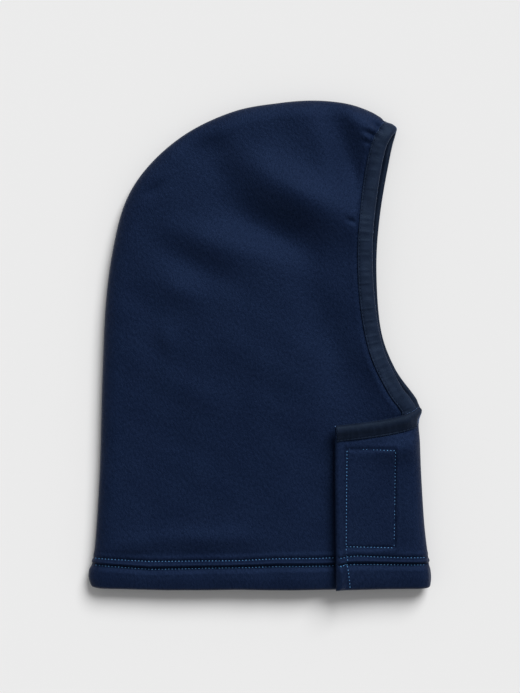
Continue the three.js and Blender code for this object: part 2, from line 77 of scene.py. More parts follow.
def spline(points, count):
    """Evenly spaced points along the Catmull-Rom curve through the given ones."""
    p = np.array(points, float)
    q = np.vstack([p[:1], p, p[-1:]])
    t = np.linspace(0, 1, 60, endpoint=False)[:, None]
    out = []
    for i in range(len(p) - 1):
        a, b, c, d = q[i], q[i + 1], q[i + 2], q[i + 3]
        v0, v1 = (c - a) / 2, (d - b) / 2
        out.append((2 * b - 2 * c + v0 + v1) * t**3 + (-3 * b + 3 * c - 2 * v0 - v1) * t**2 + v0 * t + b)
    out = np.vstack([*out, p[-1:]])
    length = np.concatenate([[0], np.cumsum(np.linalg.norm(np.diff(out, axis=0), axis=1))])
    at = np.linspace(0, length[-1], count + 1)
    return np.stack([np.interp(at, length, out[:, k]) for k in (0, 1)], 1), length[-1]


seam_line, seam_length = spline([
    SEAM_START, (92, 165), (82.5, 171.9), (64, 178.3), (40, 180.7), (14, 178.9), (-18.5, 173),
    (-52.5, 157.6), (-79.8, 135.2), (-97.8, 109.2), (-107.4, 76.3), (-113.5, 33), (-116.2, -25),
    (-118, -90), (-121.4, -144), (-125, -168), (-123.6, -178.5),
], SEAM_STEPS)
right_edge, right_length = spline([
    SEAM_START, (91, 146), (84.8, 115), (81, 76), (82.5, 34), (89.2, -2), (101.4, -28.2),
    (108.6, -38.2), (113.0, -45.5), (113.0, -54), (111.0, -62),
], EDGE_STEPS)
left_edge, left_length = spline([
    SEAM_START, (94.8, 141), (87.3, 98), (84.5, 58), (87.6, 13), (97.8, -16), (112.2, -36.5), THROAT,
], EDGE_STEPS)
fold_line, _ = spline([
    (124.6, -179), (124.9, -170), (123.4, -156), (120.4, -130), (118.2, -95),
    (117.2, -70), (116.3, -57), THROAT,
], 300)
flap_top, flap_top_length = spline([THROAT, (107, -51.5), (86, -56), (FLAP_LEFT_X, -59.6)], 300)
outline = lambda xs, ys: (lambda x: np.interp(x, xs, ys))
hem_y = outline(
    [-125, -117, -65, -15, 23, 56, 88, 121, 125],
    [-177, -177.5, -178.6, -178.2, -178.6, -178.1, -177.5, -177.3, -177.2],
)
row_upper = outline(
    [-125, -119, -81, -15, 13, 41, 55, 64, 71, 85, 106, 123],
    [-154.9, -155.2, -157.3, -156.6, -155.2, -155.1, -154.6, -153.6, -152.9, -153.7, -154.4, -154.3],
)
row_lower = outline(
    [-125, -123, -81, -4, 13, 50, 57, 64, 80, 105, 125],
    [-159.6, -160, -163.2, -161.6, -161, -160.8, -160.2, -159.3, -159.3, -159.7, -159.7],
)


def smooth(a, b, v):
    t = np.clip((v - a) / (b - a), 0, 1)
    return t * t * (3 - 2 * t)


def nearest(line, x, y):
    """Distance from each point to a line of points, and the unit direction to the line's right there."""
    shape = np.shape(x)
    p = np.stack([np.ravel(x), np.ravel(y)], 1)
    at = np.empty(len(p), int)
    for i in range(0, len(p), 20000):
        d = ((p[i:i + 20000, None] - line[None]) ** 2).sum(2)
        at[i:i + 20000] = d.argmin(1)
    along = line[np.minimum(at + 1, len(line) - 1)] - line[np.maximum(at - 1, 0)]
    along /= np.linalg.norm(along, axis=1)[:, None]
    outward = np.stack([along[:, 1], -along[:, 0]], 1)
    offset = line[at] - p
    end = (at == 0) | (at == len(line) - 1)
    distance = np.where(end, np.linalg.norm(offset, axis=1), np.abs((offset * outward).sum(1)))
    return distance.reshape(shape), outward.reshape(*shape, 2)


# ---------------------------------------------------------------- how the cloth lies
# Soft folds of the upper panel, for the light and dark across it in the photograph. A row is
# (x, y, direction in degrees, half length, half width, height), and a height below 0 is a valley.
FOLDS = [
    # The broad ridge over the brow and the valley below it.
    (30, 110, 150, 42, 17, 10), (8, 84, 155, 42, 14, -5),
    # Beside the tape.
    (64, 138, 110, 30, 10, -4.5), (46, 142, 110, 25, 13, 2.5), (75, 158, 130, 18, 8, 2.5),
    # The crown and the nape.
    (-30, 128, 130, 30, 15, -3), (-32, 147, 160, 15, 9, -1.5), (-78, 114, 25, 9, 5, -1.5),
    (-30, 74, 160, 38, 11, 2.5), (-48, 60, 155, 32, 10, -2), (-58, 40, 155, 18, 9, 2),
    (-90, 40, 115, 26, 12, -1.2),
    # The cheek and the throat.
    (48, 10, 110, 55, 15, -3.5), (88, -20, 115, 30, 12, 3.5), (5, -5, 150, 32, 22, 1.2),
    (-68, 5, 115, 12, 7, 1.2), (-45, -34, 155, 24, 13, 1.5), (36, -90, 100, 34, 14, -1.5),
    # Above the hem.
    (-38, -141, 0, 32, 8, 2.5), (-95, -146, 10, 25, 8, 1.5),
]
# Short creases where the tape draws the cloth in, in rows of the same kind.
CREASES = [
    (85.6, 160.6, 135, 5, 1.9, -2.3), (80.6, 154.9, 153, 5, 1.9, -2.4),
    (66.2, 91.4, 153, 4, 1.6, -1.9), (78.5, 148.5, 160, 4, 1.8, -1.2),
]
# The flap stands fuller beside its box of stitching.
FLAP_FOLDS = [
    (100, -75, 8, 22, 9, 3.4), (84, -68, 8, 16, 3.5, 0.8), (105, -118, 92, 32, 5, 0.9),
    (80, -150.5, 3, 26, 3, 0.7), (76, -100, 60, 22, 9, 0.5),
]


def bumps(rows, x, y):
    h = np.zeros(np.shape(x))
    for cx, cy, direction, length, width, height in rows:
        c, s = np.cos(radians(direction)), np.sin(radians(direction))
        along, across = (x - cx) * c + (y - cy) * s, (y - cy) * c - (x - cx) * s
        h += height * np.exp(-((along / length) ** 2) - (across / width) ** 2)
    return h


def folds(x, y):
    fade = 0.15 + 0.85 * smooth(3, 14, nearest(right_edge, x, y)[0])
    return bumps(FOLDS, x, y) * fade + bumps(CREASES, x, y)


# A quiet unevenness with no direction, from a few long waves.
WAVES = [(rng.uniform(0, 2 * pi), rng.uniform(0, 2 * pi), rng.uniform(22, 60)) for _ in range(14)]


def unevenness(x, y):
    waves = [
        np.sin((x * np.cos(a) + y * np.sin(a)) * 2 * pi / length + phase)
        for a, phase, length in WAVES
    ]
    return sum(waves) / len(WAVES)


def hood_level(x, y):
    level = 15.2 + 4.0 * np.exp(-(((x + 15) / 78) ** 2) - ((y - 25) / 95) ** 2)
    level = level - 5.1 * smooth(20, 108, x) * smooth(70, -25, y)
    under_flap = smooth(44, 54, x) * smooth(-50, -62, y)
    hem = smooth(-148, -156, y)
    level = level + folds(x, y) * (1 - under_flap) * (1 - hem) + 0.9 * unevenness(x, y) * (1 - under_flap)
    return level - 1.2 * smooth(-130, -176, y) * smooth(0, -110, x)


def flap_level(x, y):
    """The flap lies over the hood, and its free edge and its top lift a little."""
    edge_x = x
    x = np.minimum(x, UNDERLAP_X)
    base = 15.5 + 5.5 * np.exp(-(((x + 15) / 78) ** 2) - ((y - 25) / 95) ** 2)
    base = base - 5.1 * smooth(20, 108, x) * smooth(70, -25, y)
    lifted = 4.6 * smooth(11, -2, edge_x - FLAP_LEFT_X) * (0.55 + 0.45 * smooth(-60, -110, y))
    lifted = lifted + 3.6 * np.clip(1 - (flap_top_y(x) - y) / 12, 0, 1.2) ** 1.3 * smooth(116, 104, edge_x)
    return base + FLAP_LIFT + lifted + bumps(FLAP_FOLDS, x, y) + 0.3 * unevenness(x * 1.3, y)


def patch_level(x, y):
    """The hook patch is too stiff to follow the fullest fold of the cloth that it is sewn to."""
    return flap_level(x, y) - 0.6 * bumps(FLAP_FOLDS[:1], x, y)


def surface_level(x, y):
    """The lower panel lies on the table; its bound edge curls up and its hem stands on its stitches."""
    near_edge = nearest(left_edge, x, y)[0] * np.where(x > x_at(left_edge, y), -1, 1)
    curl = 3.1 * np.clip(1 - near_edge / 7, 0, 1.25) ** 1.7 * smooth(-40, -18, y) * smooth(154, 138, y)
    return np.maximum(1.9 * (1 - smooth(11, 20, near_edge)) + curl, 1.5 * smooth(-142, -150, y))


def rounded_face(line, rim, reach, level):
    """A face gives the points over (x, y) on the outside of the hood and the directions out of the cloth."""
    def face(x, y, on_rim):
        distance, outward = nearest(line, x, y)
        cos = np.where(on_rim, 1, 1 - np.minimum(distance / reach, 1))
        sin = np.sqrt(1 - cos * cos)
        rise = level(x, y) - rim
        upward = np.sign(rise) * sin / np.abs(rise)
        n = np.stack([outward[..., 0] * cos / reach, outward[..., 1] * cos / reach, upward], -1)
        n /= np.linalg.norm(n, axis=-1)[..., None]
        n[..., 0] -= (level(x + 0.5, y) - level(x - 0.5, y)) * n[..., 2]
        n[..., 1] -= (level(x, y + 0.5) - level(x, y - 0.5)) * n[..., 2]
        n /= np.linalg.norm(n, axis=-1)[..., None]
        return np.stack([x, y, rim + rise * sin], -1), n
    return face


right_face = rounded_face(seam_line, SEAM_Z, RIGHT_ROUND, hood_level)
left_seam_face = rounded_face(seam_line, SEAM_Z, LEFT_ROUND, surface_level)
left_fold_face = rounded_face(fold_line, FOLD_Z, LEFT_ROUND, surface_level)
flap_face = rounded_face(fold_line, FOLD_Z, FLAP_ROUND, flap_level)
patch_face = rounded_face(fold_line, FOLD_Z, FLAP_ROUND, patch_level)


def left_face(x, y, on_rim):
    fold_closer = nearest(fold_line, x, y)[0] < nearest(seam_line, x, y)[0]
    p0, n0 = left_seam_face(x, y, on_rim)
    p1, n1 = left_fold_face(x, y, on_rim)
    pick = fold_closer[..., None]
    return np.where(pick, p1, p0), np.where(pick, n1, n0)


# ---------------------------------------------------------------- grids over the panels
def at_distance(line, length, d):
    at = np.clip(np.asarray(d) / length, 0, 1) * (len(line) - 1)
    return np.stack([np.interp(at, np.arange(len(line)), line[:, k]) for k in (0, 1)], -1)


def x_at(line, y):
    order = np.argsort(line[:, 1], kind="stable")
    return np.interp(y, line[order, 1], line[order, 0])


nape_from = int(len(seam_line) * 0.4)
seam_x = lambda y: x_at(seam_line[nape_from:], y)
fold_x = lambda y: x_at(fold_line, y)
flap_top_y = lambda x: np.interp(x, flap_top[::-1, 0], flap_top[::-1, 1])
BORDER = np.array([0, 0.06, 0.25, 0.55, 0.95, 1.4, 1.9, 2.4, 3.2, 4.2])
turn = lambda reach, n: reach * (1 - np.cos(np.linspace(0, pi / 2, n)))


def ribs(front, back, columns, front_reach=0, back_reach=0):
    """Points from each front point to its back point, close together within a reach of each end."""
    length = np.linalg.norm(back - front, axis=1)
    squeeze = np.minimum(1, length / (2.5 * max(front_reach + back_reach, 1)))
    ahead = turn(front_reach, 9) if front_reach else np.array([0.0])
    behind = turn(back_reach, 13)[::-1]
    rows = []
    for f, b, span, s in zip(front, back, length, squeeze):
        first, last = ahead * s, span - behind * s
        between = np.linspace(first[-1], last[0], columns + 1)[1:-1]
        t = np.concatenate([first, between, last]) / span
        rows.append(f + (b - f) * t[:, None])
    return np.array(rows)


def neck_ys():
    """Rows down the neck, close together where stitching sinks in."""
    ends = [THROAT[1], -70, -79, -143, -169, -174.4]
    counts = [18, 18, 46, 58, 7]
    body = [np.linspace(a, b, n + 1)[1:] for a, b, n in zip(ends, ends[1:], counts)]
    return np.concatenate([*body, HEM_LOW + BORDER[:-1][::-1]])


def nape_distance(y):
    """How far along the seam line the nape comes down to a given y."""
    steps_on = np.abs(seam_line[nape_from:, 1] - y).argmin()
    return seam_length * steps_on / SEAM_STEPS + seam_length * nape_from / SEAM_STEPS


nape_at = nape_distance(THROAT[1])


def panel_grid(edge, length, until, reach, columns, neck_front_x, front_reach=0):
    """The (x, y) of a side panel's cloth, and which points lie on a rim."""
    closing = 8  # the last rows draw closer together over this distance
    last = until - closing
    ending = last + closing * np.sin(np.linspace(0, pi / 2, 10))[1:]
    spread = np.concatenate([turn(reach, 9)[:-1], np.linspace(reach, last, 150), ending])
    front = at_distance(edge, length, spread)
    share = (spread - spread[0]) / (spread[-1] - spread[0])
    back = at_distance(seam_line, seam_length, BROW_SEAM + share * (nape_at - BROW_SEAM))
    face_rows = ribs(front, back, columns, front_reach, reach)
    ys = neck_ys()
    neck_front = np.stack([neck_front_x(ys), ys], 1)
    neck_back = np.stack([seam_x(ys), ys], 1)
    neck = ribs(neck_front, neck_back, columns, front_reach, reach)
    level_to = -150  # rows above this are level, and the rest follow the hem
    bottom = neck[..., 1] < level_to
    stretch = np.where(bottom, (neck[..., 1] - level_to) / (HEM_LOW - level_to), 0)
    neck[..., 1] += stretch * (hem_y(neck[..., 0]) - HEM_LOW)
    face_rows[0] = at_distance(seam_line, seam_length, np.linspace(0, BROW_SEAM, face_rows.shape[1]))
    grid = np.concatenate([face_rows, neck])
    rim = np.zeros(grid.shape[:2], bool)
    rim[0] = True
    rim[:, -1] = True
    return grid, rim, len(face_rows)


def cloth_grid(face, grid, rim, border, thick, relief):
    """Outer and inner points of a cloth; border is the distance from its rounded edges."""
    p, n = face(grid[..., 0], grid[..., 1], rim)
    r = thick / 2
    reach = np.clip(r - border, 0, r)
    depth = r - np.sqrt(np.maximum(r * r - reach * reach, 0))
    fade = smooth(0, 2.0, border)
    return p - n * (depth - relief * fade)[..., None], p - n * (thick - depth)[..., None]


def shell(outer, inner, open_first_column=False):
    """Vertices and quads of a closed sheet; its first column may be left open for a weld."""
    rows, cols = outer.shape[:2]
    count = rows * cols
    index = np.arange(count).reshape(rows, cols)
    a, b, c, d = index[:-1, :-1], index[:-1, 1:], index[1:, 1:], index[1:, :-1]
    top = np.stack([a, b, c, d], -1).reshape(-1, 4)
    quads = [top, top[:, ::-1] + count]
    for edge in (index[0], index[-1][::-1], index[:, -1], None if open_first_column else index[:, 0][::-1]):
        if edge is not None:
            quads.append(np.stack([edge[1:], edge[:-1], edge[:-1] + count, edge[1:] + count], -1))
    return np.vstack([outer.reshape(-1, 3), inner.reshape(-1, 3)]), np.vstack(quads)


def make(name, vertices, faces, material, body=None, uv=None, weld=False):
    """A smooth mesh piece from points in mm; uv is in metres of cloth."""
    mesh = bpy.data.meshes.new(name)
    faces = faces if isinstance(faces, list) else faces.tolist()
    mesh.from_pydata((np.asarray(vertices) * MM).tolist(), [], faces)
    if uv is not None:
        layer = mesh.uv_layers.new(name="cloth")
        loops = np.empty(len(mesh.loops), np.int32)
        mesh.loops.foreach_get("vertex_index", loops)
        layer.data.foreach_set("uv", (np.asarray(uv) * MM)[loops].astype(np.float32).ravel())
    bm = bmesh.new()
    bm.from_mesh(mesh)
    if weld:
        bmesh.ops.remove_doubles(bm, verts=bm.verts, dist=2e-6)
    if bm.calc_volume(signed=True) < 0:
        bmesh.ops.reverse_faces(bm, faces=bm.faces)
    bm.to_mesh(mesh)
    bm.free()
    mesh.shade_smooth()
    mesh.materials.append(material)
    obj = bpy.data.objects.new(name, mesh)
    bpy.context.scene.collection.objects.link(obj)
    if body:
        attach(obj, body)
    return obj


# ---------------------------------------------------------------- materials
def node_material(name):
    m = bpy.data.materials.new(name)
    m.use_nodes = True
    tree = m.node_tree
    shader = tree.nodes["Principled BSDF"]
    return m, tree, shader, tree.nodes.new


def noise(tree, vector, scale, detail=3.0, stretch=None, rough=0.55):
    if stretch:
        mapping = tree.nodes.new("ShaderNodeMapping")
        mapping.inputs["Scale"].default_value = stretch[0]
        mapping.inputs["Rotation"].default_value = (0, 0, stretch[1])
        tree.links.new(vector, mapping.inputs["Vector"])
        vector = mapping.outputs["Vector"]
    node = tree.nodes.new("ShaderNodeTexNoise")
    node.inputs["Scale"].default_value = scale
    node.inputs["Detail"].default_value = detail
    node.inputs["Roughness"].default_value = rough
    tree.links.new(vector, node.inputs["Vector"])
    return node.outputs["Fac"]


def ramp(tree, fac, stops):
    node = tree.nodes.new("ShaderNodeValToRGB")
    elements = node.color_ramp.elements
    while len(elements) < len(stops):
        elements.new(0.5)
    for element, (at, colour) in zip(elements, stops):
        element.position = at
        element.color = (*colour, 1)
    tree.links.new(fac, node.inputs["Fac"])
    return node.outputs["Color"]


def mix(tree, mode, fac, a, b):
    node = tree.nodes.new("ShaderNodeMix")
    node.data_type = "RGBA"
    node.blend_type = mode
    for socket, value in ((node.inputs["Factor"], fac), (node.inputs["A"], a), (node.inputs["B"], b)):
        if isinstance(value, bpy.types.NodeSocket):
            tree.links.new(value, socket)
        elif isinstance(value, tuple):
            socket.default_value = (*value, 1)
        else:
            socket.default_value = value
    return node.outputs["Result"]


def math_node(tree, operation, a, b):
    node = tree.nodes.new("ShaderNodeMath")
    node.operation = operation
    for socket, value in zip(node.inputs, (a, b)):
        if isinstance(value, bpy.types.NodeSocket):
            tree.links.new(value, socket)
        else:
            socket.default_value = value
    return node.outputs[0]


def add_shares(tree, a, share_a, b, share_b):
    scaled_a = math_node(tree, "MULTIPLY", a, share_a)
    scaled_b = math_node(tree, "MULTIPLY", b, share_b)
    return math_node(tree, "ADD", scaled_a, scaled_b)


def bump(tree, height, strength, distance, normal=None):
    node = tree.nodes.new("ShaderNodeBump")
    node.inputs["Strength"].default_value = strength
    node.inputs["Distance"].default_value = distance
    tree.links.new(height, node.inputs["Height"])
    if normal:
        tree.links.new(normal, node.inputs["Normal"])
    return node.outputs["Normal"]


def fleece_material(name, dark, light, sheen):
    m, tree, shader, new = node_material(name)
    uv = new("ShaderNodeTexCoord").outputs["UV"]
    clumps = noise(tree, uv, 620, 4, ((1, 0.55, 1), 0.6), 0.6)
    pile = noise(tree, uv, 2100, 3, ((1, 0.4, 1), 0.5), 0.65)
    patches = noise(tree, uv, 28, 3)
    tone = add_shares(tree, clumps, 0.42, pile, 0.58)
    colour = ramp(tree, tone, [(0.36, dark), (0.64, light)])
    shade = ramp(tree, patches, [(0.35, (0.80, 0.82, 0.86)), (0.65, (1.0, 1.0, 1.0))])
    tree.links.new(mix(tree, "MULTIPLY", 1.0, colour, shade), shader.inputs["Base Color"])
    normal = bump(tree, clumps, 0.6, 0.0009)
    normal = bump(tree, pile, 0.6, 0.0005, normal)
    tree.links.new(normal, shader.inputs["Normal"])
    rough = ramp(tree, pile, [(0.3, (0.60,) * 3), (0.7, (0.47,) * 3)])
    tree.links.new(rough, shader.inputs["Roughness"])
    shader.inputs["Specular IOR Level"].default_value = 0.20
    shader.inputs["Specular Tint"].default_value = (0.22, 0.42, 1.0, 1)
    shader.inputs["Sheen Weight"].default_value = sheen
    shader.inputs["Sheen Roughness"].default_value = 0.4
    shader.inputs["Sheen Tint"].default_value = (0.15, 0.32, 0.8, 1)
    return m


def tape_material(name, shade):
    m, tree, shader, new = node_material(name)
    uv = new("ShaderNodeTexCoord").outputs["UV"]
    wave = new("ShaderNodeTexWave")
    wave.bands_direction = "Y"
    wave.inputs["Scale"].default_value = 420
    wave.inputs["Distortion"].default_value = 1.5
    wave.inputs["Detail"].default_value = 2
    wave.inputs["Detail Scale"].default_value = 3
    tree.links.new(uv, wave.inputs["Vector"])
    grain = noise(tree, uv, 1300, 3)
    uneven = noise(tree, uv, 130, 2)
    tone = add_shares(tree, grain, 0.5, uneven, 0.5)
    # shade scales the tape's colour; a value below 1 paints shade into the tape.
    dark = tuple(part * shade for part in (0.0050, 0.0094, 0.0235))
    light = tuple(part * shade for part in (0.0112, 0.0192, 0.0430))
    tree.links.new(ramp(tree, tone, [(0.35, dark), (0.65, light)]), shader.inputs["Base Color"])
    normal = bump(tree, wave.outputs["Fac"], 0.25, 0.0003)
    normal = bump(tree, grain, 0.35, 0.0003, normal)
    tree.links.new(normal, shader.inputs["Normal"])
    tree.links.new(ramp(tree, grain, [(0.3, (0.62,) * 3), (0.7, (0.48,) * 3)]), shader.inputs["Roughness"])
    shader.inputs["Specular IOR Level"].default_value = 0.12
    shader.inputs["Specular Tint"].default_value = (0.5, 0.75, 1.0, 1)
    shader.inputs["Sheen Weight"].default_value = 0.7
    shader.inputs["Sheen Roughness"].default_value = 0.22
    shader.inputs["Sheen Tint"].default_value = (0.28, 0.5, 1.0, 1)
    return m


def thread_material(name, dark, light, shine=0.35):
    m, tree, shader, new = node_material(name)
    place = new("ShaderNodeTexCoord").outputs["Object"]
    twist = noise(tree, place, 2600, 2, ((1, 1, 1), 0.8))
    fade = noise(tree, place, 160, 2)
    tone = add_shares(tree, twist, 0.5, fade, 0.5)
    tree.links.new(ramp(tree, tone, [(0.35, dark), (0.65, light)]), shader.inputs["Base Color"])
    tree.links.new(bump(tree, twist, 0.4, 0.0002), shader.inputs["Normal"])
    tree.links.new(ramp(tree, twist, [(0.3, (0.62,) * 3), (0.7, (0.42,) * 3)]), shader.inputs["Roughness"])
    shader.inputs["Specular IOR Level"].default_value = shine
    return m


def fastener_material(name, fuzzy):
    m, tree, shader, new = node_material(name)
    place = new("ShaderNodeTexCoord").outputs["Object"]
    grain = noise(tree, place, 1800 if fuzzy else 900, 4)
    colour = ramp(tree, grain, [(0.35, (0.006, 0.009, 0.020)), (0.7, (0.014, 0.020, 0.042))])
    tree.links.new(colour, shader.inputs["Base Color"])
    tree.links.new(bump(tree, grain, 0.8 if fuzzy else 0.4, 0.0006), shader.inputs["Normal"])
    tree.links.new(ramp(tree, grain, [(0.3, (0.9,) * 3), (0.7, (0.6,) * 3)]), shader.inputs["Roughness"])
    shader.inputs["Specular IOR Level"].default_value = 0.3
    return m


fleece = fleece_material("brushed fleece", (0.0017, 0.0048, 0.0168), (0.0090, 0.0170, 0.0455), 0.05)
tape_cloth = tape_material("binding tape", 1.0)
# The same tape at 0.72 of its colour is painted shade: it darkens the lower panel's binding, seen deep in the
# face opening, and the flap's binding.
shaded_tape_cloth = tape_material("binding tape, darkened for painted shade", 0.72)
blue_thread = thread_material("contrast thread", (0.050, 0.190, 0.430), (0.150, 0.400, 0.740))
navy_thread = thread_material("tonal thread", (0.0012, 0.003, 0.009), (0.003, 0.007, 0.018), 0.04)
hook_cloth = fastener_material("hook tape", False)
loop_cloth = fastener_material("loop tape", True)

# ---------------------------------------------------------------- the hem and the pressed stitch lines
line_at = lambda d, w: np.exp(-(d / w) ** 2)


def hem_relief(x, y):
    """Two rows of stitching sink in, with a welt between them and a full hem below."""
    upper, lower, bottom = row_upper(x), row_lower(x), hem_y(x)
    middle = (upper + lower) / 2
    welt = line_at(y - middle, 1.6) * 1.7
    grooves = -0.9 * line_at(y - upper + 0.1, 0.8) - 1.9 * line_at(y - lower - 0.55, 0.9)
    full = 1.3 * smooth(0, 4.5, lower - y) * smooth(-1, 9, y - bottom)
    at_back_seam = 0.35 + 0.65 * smooth(0, 7, x - seam_x(y))
    return (grooves + welt + 0.5 * line_at(y - upper - 2.6, 1.7)) * at_back_seam + full


def seam_groove(x, y):
    return -0.35 * line_at(nearest(seam_line, x, y)[0], 1.1)


def tape_press(line, x, y):
    """The cloth sinks a little where the tape's stitching holds it, and swells beside it."""
    d = nearest(line, x, y)[0]
    return -0.5 * line_at(d - TAPE_WIDTH - 0.4, 0.9) + 0.35 * line_at(d - TAPE_WIDTH - 3.4, 2.2)


def hem_thickness(x, y):
    return CLOTH + (TURNED - CLOTH) * smooth(HEM_HEIGHT + 0.8, HEM_HEIGHT - 0.8, y - hem_y(x))


# ---------------------------------------------------------------- the right panel
neck_front = lambda y: UNDERLAP_X + 3 * smooth(-66, -54, y)
throat_at = right_length * np.abs(right_edge[:, 1] - THROAT[1]).argmin() / EDGE_STEPS
grid, rim, face_rows = panel_grid(right_edge, right_length, throat_at, RIGHT_ROUND, 150, neck_front)
gx, gy = grid[..., 0], grid[..., 1]
border = np.where(gy < HEM_ZONE, gy - hem_y(gx), 99)
under = (np.arange(len(grid)) > face_rows + 12)[:, None]
border = np.minimum(border, np.where(under, UNDERLAP_X - gx, 99))
underlap_thick = CLOTH + 1.4 * smooth(8.6, 7.4, UNDERLAP_X - gx)
thick = np.maximum(hem_thickness(gx, gy), np.where(under, underlap_thick, 0))
relief = np.where(gy < HEM_ZONE, hem_relief(gx, gy), 0) + seam_groove(gx, gy)
relief = relief + tape_press(right_edge, gx, gy) * (gy > -58)
outer, inner = cloth_grid(right_face, grid, rim, border, thick, relief)
v, f = shell(outer, inner)
uv = np.vstack([grid.reshape(-1, 2)] * 2)
right_cloth = make("right_panel_cloth", v, f, fleece, "hood", uv=uv, weld=True)
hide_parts("right_panel", "right_hem_facing", "underlap_edge_facing")

# ---------------------------------------------------------------- the left panel, which runs on as the flap
grid, rim, face_rows = panel_grid(left_edge, left_length, left_length, LEFT_ROUND, 120, fold_x, LEFT_ROUND)
rim[face_rows - 1:, 0] = True
gx, gy = grid[..., 0], grid[..., 1]
border = np.where(gy < HEM_ZONE, gy - hem_y(gx), 99)
relief = np.where(gy < HEM_ZONE, 0.4 * hem_relief(gx, gy), 0) + seam_groove(gx, gy)
relief = np.minimum(relief, 0.9)
outer, inner = cloth_grid(left_face, grid, rim, border, hem_thickness(gx, gy), relief)
v0, f0 = shell(outer, inner, open_first_column=True)
uv0 = grid.reshape(-1, 2)
wall = np.arange(face_rows)[::-1] * grid.shape[1]
f0 = np.vstack([f0, np.stack([wall[1:], wall[:-1], wall[:-1] + len(uv0), wall[1:] + len(uv0)], -1)])

rows_y = np.concatenate([[THROAT[1]], neck_ys()])
share = (rows_y - THROAT[1]) / (HEM_LOW - THROAT[1])
inset = np.concatenate([
    turn(FLAP_ROUND, 13),
    np.linspace(FLAP_ROUND, FLAP_WIDTH - BORDER[-1], 96)[1:],
    FLAP_WIDTH - BORDER[:-1][::-1],
])
flap = np.zeros((len(rows_y), len(inset), 2))
top_x = THROAT[0] - inset
top_y, low_y = flap_top_y(top_x), hem_y(top_x)
flap[..., 1] = top_y + share[:, None] * (low_y - top_y)
flap[:, 0, 1] = grid[face_rows - 1:, 0, 1]
stretch = np.clip((inset - FLAP_ROUND) / (THROAT[0] - FLAP_ROUND - FLAP_LEFT_X), 0, 1)
flap[..., 0] = top_x + (fold_x(flap[..., 1]) - THROAT[0]) * (1 - stretch)
lean = lambda y: 1.5 * smooth(-60, -178, y)
flap[..., 0] += lean(flap[..., 1]) * smooth(22, 0, flap[..., 0] - FLAP_LEFT_X)
flap_rim = np.zeros(flap.shape[:2], bool)
flap_rim[:, 0] = True
gx, gy = flap[..., 0], flap[..., 1]
from_edge = gx - FLAP_LEFT_X - lean(gy)
border = np.minimum(np.where(gy < HEM_ZONE, gy - hem_y(gx), 99), from_edge)
border[:, 0] = np.where(gy[:, 0] < HEM_ZONE, gy[:, 0] - hem_y(gx[:, 0]), 99)
edge_thick = CLOTH + (TURNED - CLOTH) * smooth(7.2, 6.2, from_edge)
thick = np.maximum(hem_thickness(gx, gy), edge_thick)


def box_relief(x, y):
    """The flap sinks along its box of stitching and lies a little proud round it."""
    dx = np.maximum(BOX["left"] - x, x - BOX["right"])
    dy = np.maximum(BOX["low"] - y, y - BOX["high"])
    d = np.where((dx > 0) & (dy > 0), np.hypot(np.maximum(dx, 0), np.maximum(dy, 0)), np.maximum(dx, dy))
    inside = smooth(0.5, -3, d)
    row = -0.8 * line_at(d, 0.85)
    edge = -0.9 * line_at(x - EDGE_ROW_X, 0.9) * smooth(BOX["low"] + 1, BOX["low"] - 1, y)
    turned = 0.5 * line_at(x - FLAP_LEFT_X - 4, 3.0)
    return row + edge + turned + 0.4 * inside + 0.4 * line_at(d - 2.4, 1.8)


relief = np.where(gy < HEM_ZONE, hem_relief(gx, gy), 0) * smooth(0, 3, fold_x(gy) - gx)
beside_fold = smooth(4, 10, fold_x(gy) - gx)
relief = relief + box_relief(gx, gy) * beside_fold
relief = relief - 0.4 * line_at(flap_top_y(gx) - TAPE_WIDTH - 0.4 - gy, 0.9) * beside_fold
relief[:, 0] = np.minimum(0.4 * np.where(gy[:, 0] < HEM_ZONE, hem_relief(gx[:, 0], gy[:, 0]), 0), 0.9)
outer_flap, inner_flap = cloth_grid(flap_face, flap, flap_rim, border, thick, relief)
outer_flap[:, 0], inner_flap[:, 0] = outer[face_rows - 1:, 0], inner[face_rows - 1:, 0]
v1, f1 = shell(outer_flap, inner_flap, open_first_column=True)
uv1 = np.stack([2 * fold_x(gy) + 16 - gx, gy], -1).reshape(-1, 2)
left_cloth = make(
    "left_panel_and_flap_cloth", np.vstack([v0, v1]), np.vstack([f0, f1[:, ::-1] + len(v0)]),
    fleece, uv=np.vstack([uv0, uv0, uv1, uv1]), weld=True,
)
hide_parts("left_panel", "left_hem_facing", "flap_panel", "flap_hem_facing", "flap_edge_facing")

# ---------------------------------------------------------------- the binding tape
def tape_section():
    """Points (distance in from the edge, depth under the cloth's face), once round from the stitching."""
    outside = [
        (9.62, -0.10), (9.78, -0.42), (9.70, -0.72), (9.42, -0.88), (9.05, -0.82), (8.75, -0.66),
        (8.4, -0.82), (8.0, -1.04), (7.2, -1.24), (6.3, -1.38), (5.3, -1.48), (4.2, -1.52),
        (3.1, -1.50), (2.0, -1.42), (1.1, -1.28), (0.3, -1.04), (-0.35, -0.70), (-0.85, -0.20),
        (-1.15, 0.35), (-1.27, 0.90), (-1.27, 1.5), (-1.15, 2.15), (-0.85, 2.80), (-0.35, 3.26),
    ]
    back = [
        (0.3, 3.45), (2.0, 3.5), (4.5, 3.5), (7.0, 3.5), (9.3, 3.45), (9.72, 3.2), (9.75, 2.75), (9.6, 2.5),
    ]
    lining = [
        (7.0, 2.46), (3.0, 2.46), (0.6, 2.46), (-0.1, 2.1), (-0.25, 1.2), (-0.1, 0.3), (0.6, -0.06),
        (3.0, -0.06), (7.0, -0.06),
    ]
    return np.array(outside + back + lining)


SECTION = tape_section()


def pucker(distance, seed):
    """The tape's small cross folds: how much each station stands proud, from where it is along the edge."""
    r = np.random.default_rng(seed)
    total = np.zeros(len(distance))
    at = 0.0
    while at < distance[-1]:
        at += r.uniform(3.2, 7.0)
        total += r.uniform(0.1, 1.0) * np.exp(-(((distance - at) / r.uniform(0.8, 1.7)) ** 2))
    return total


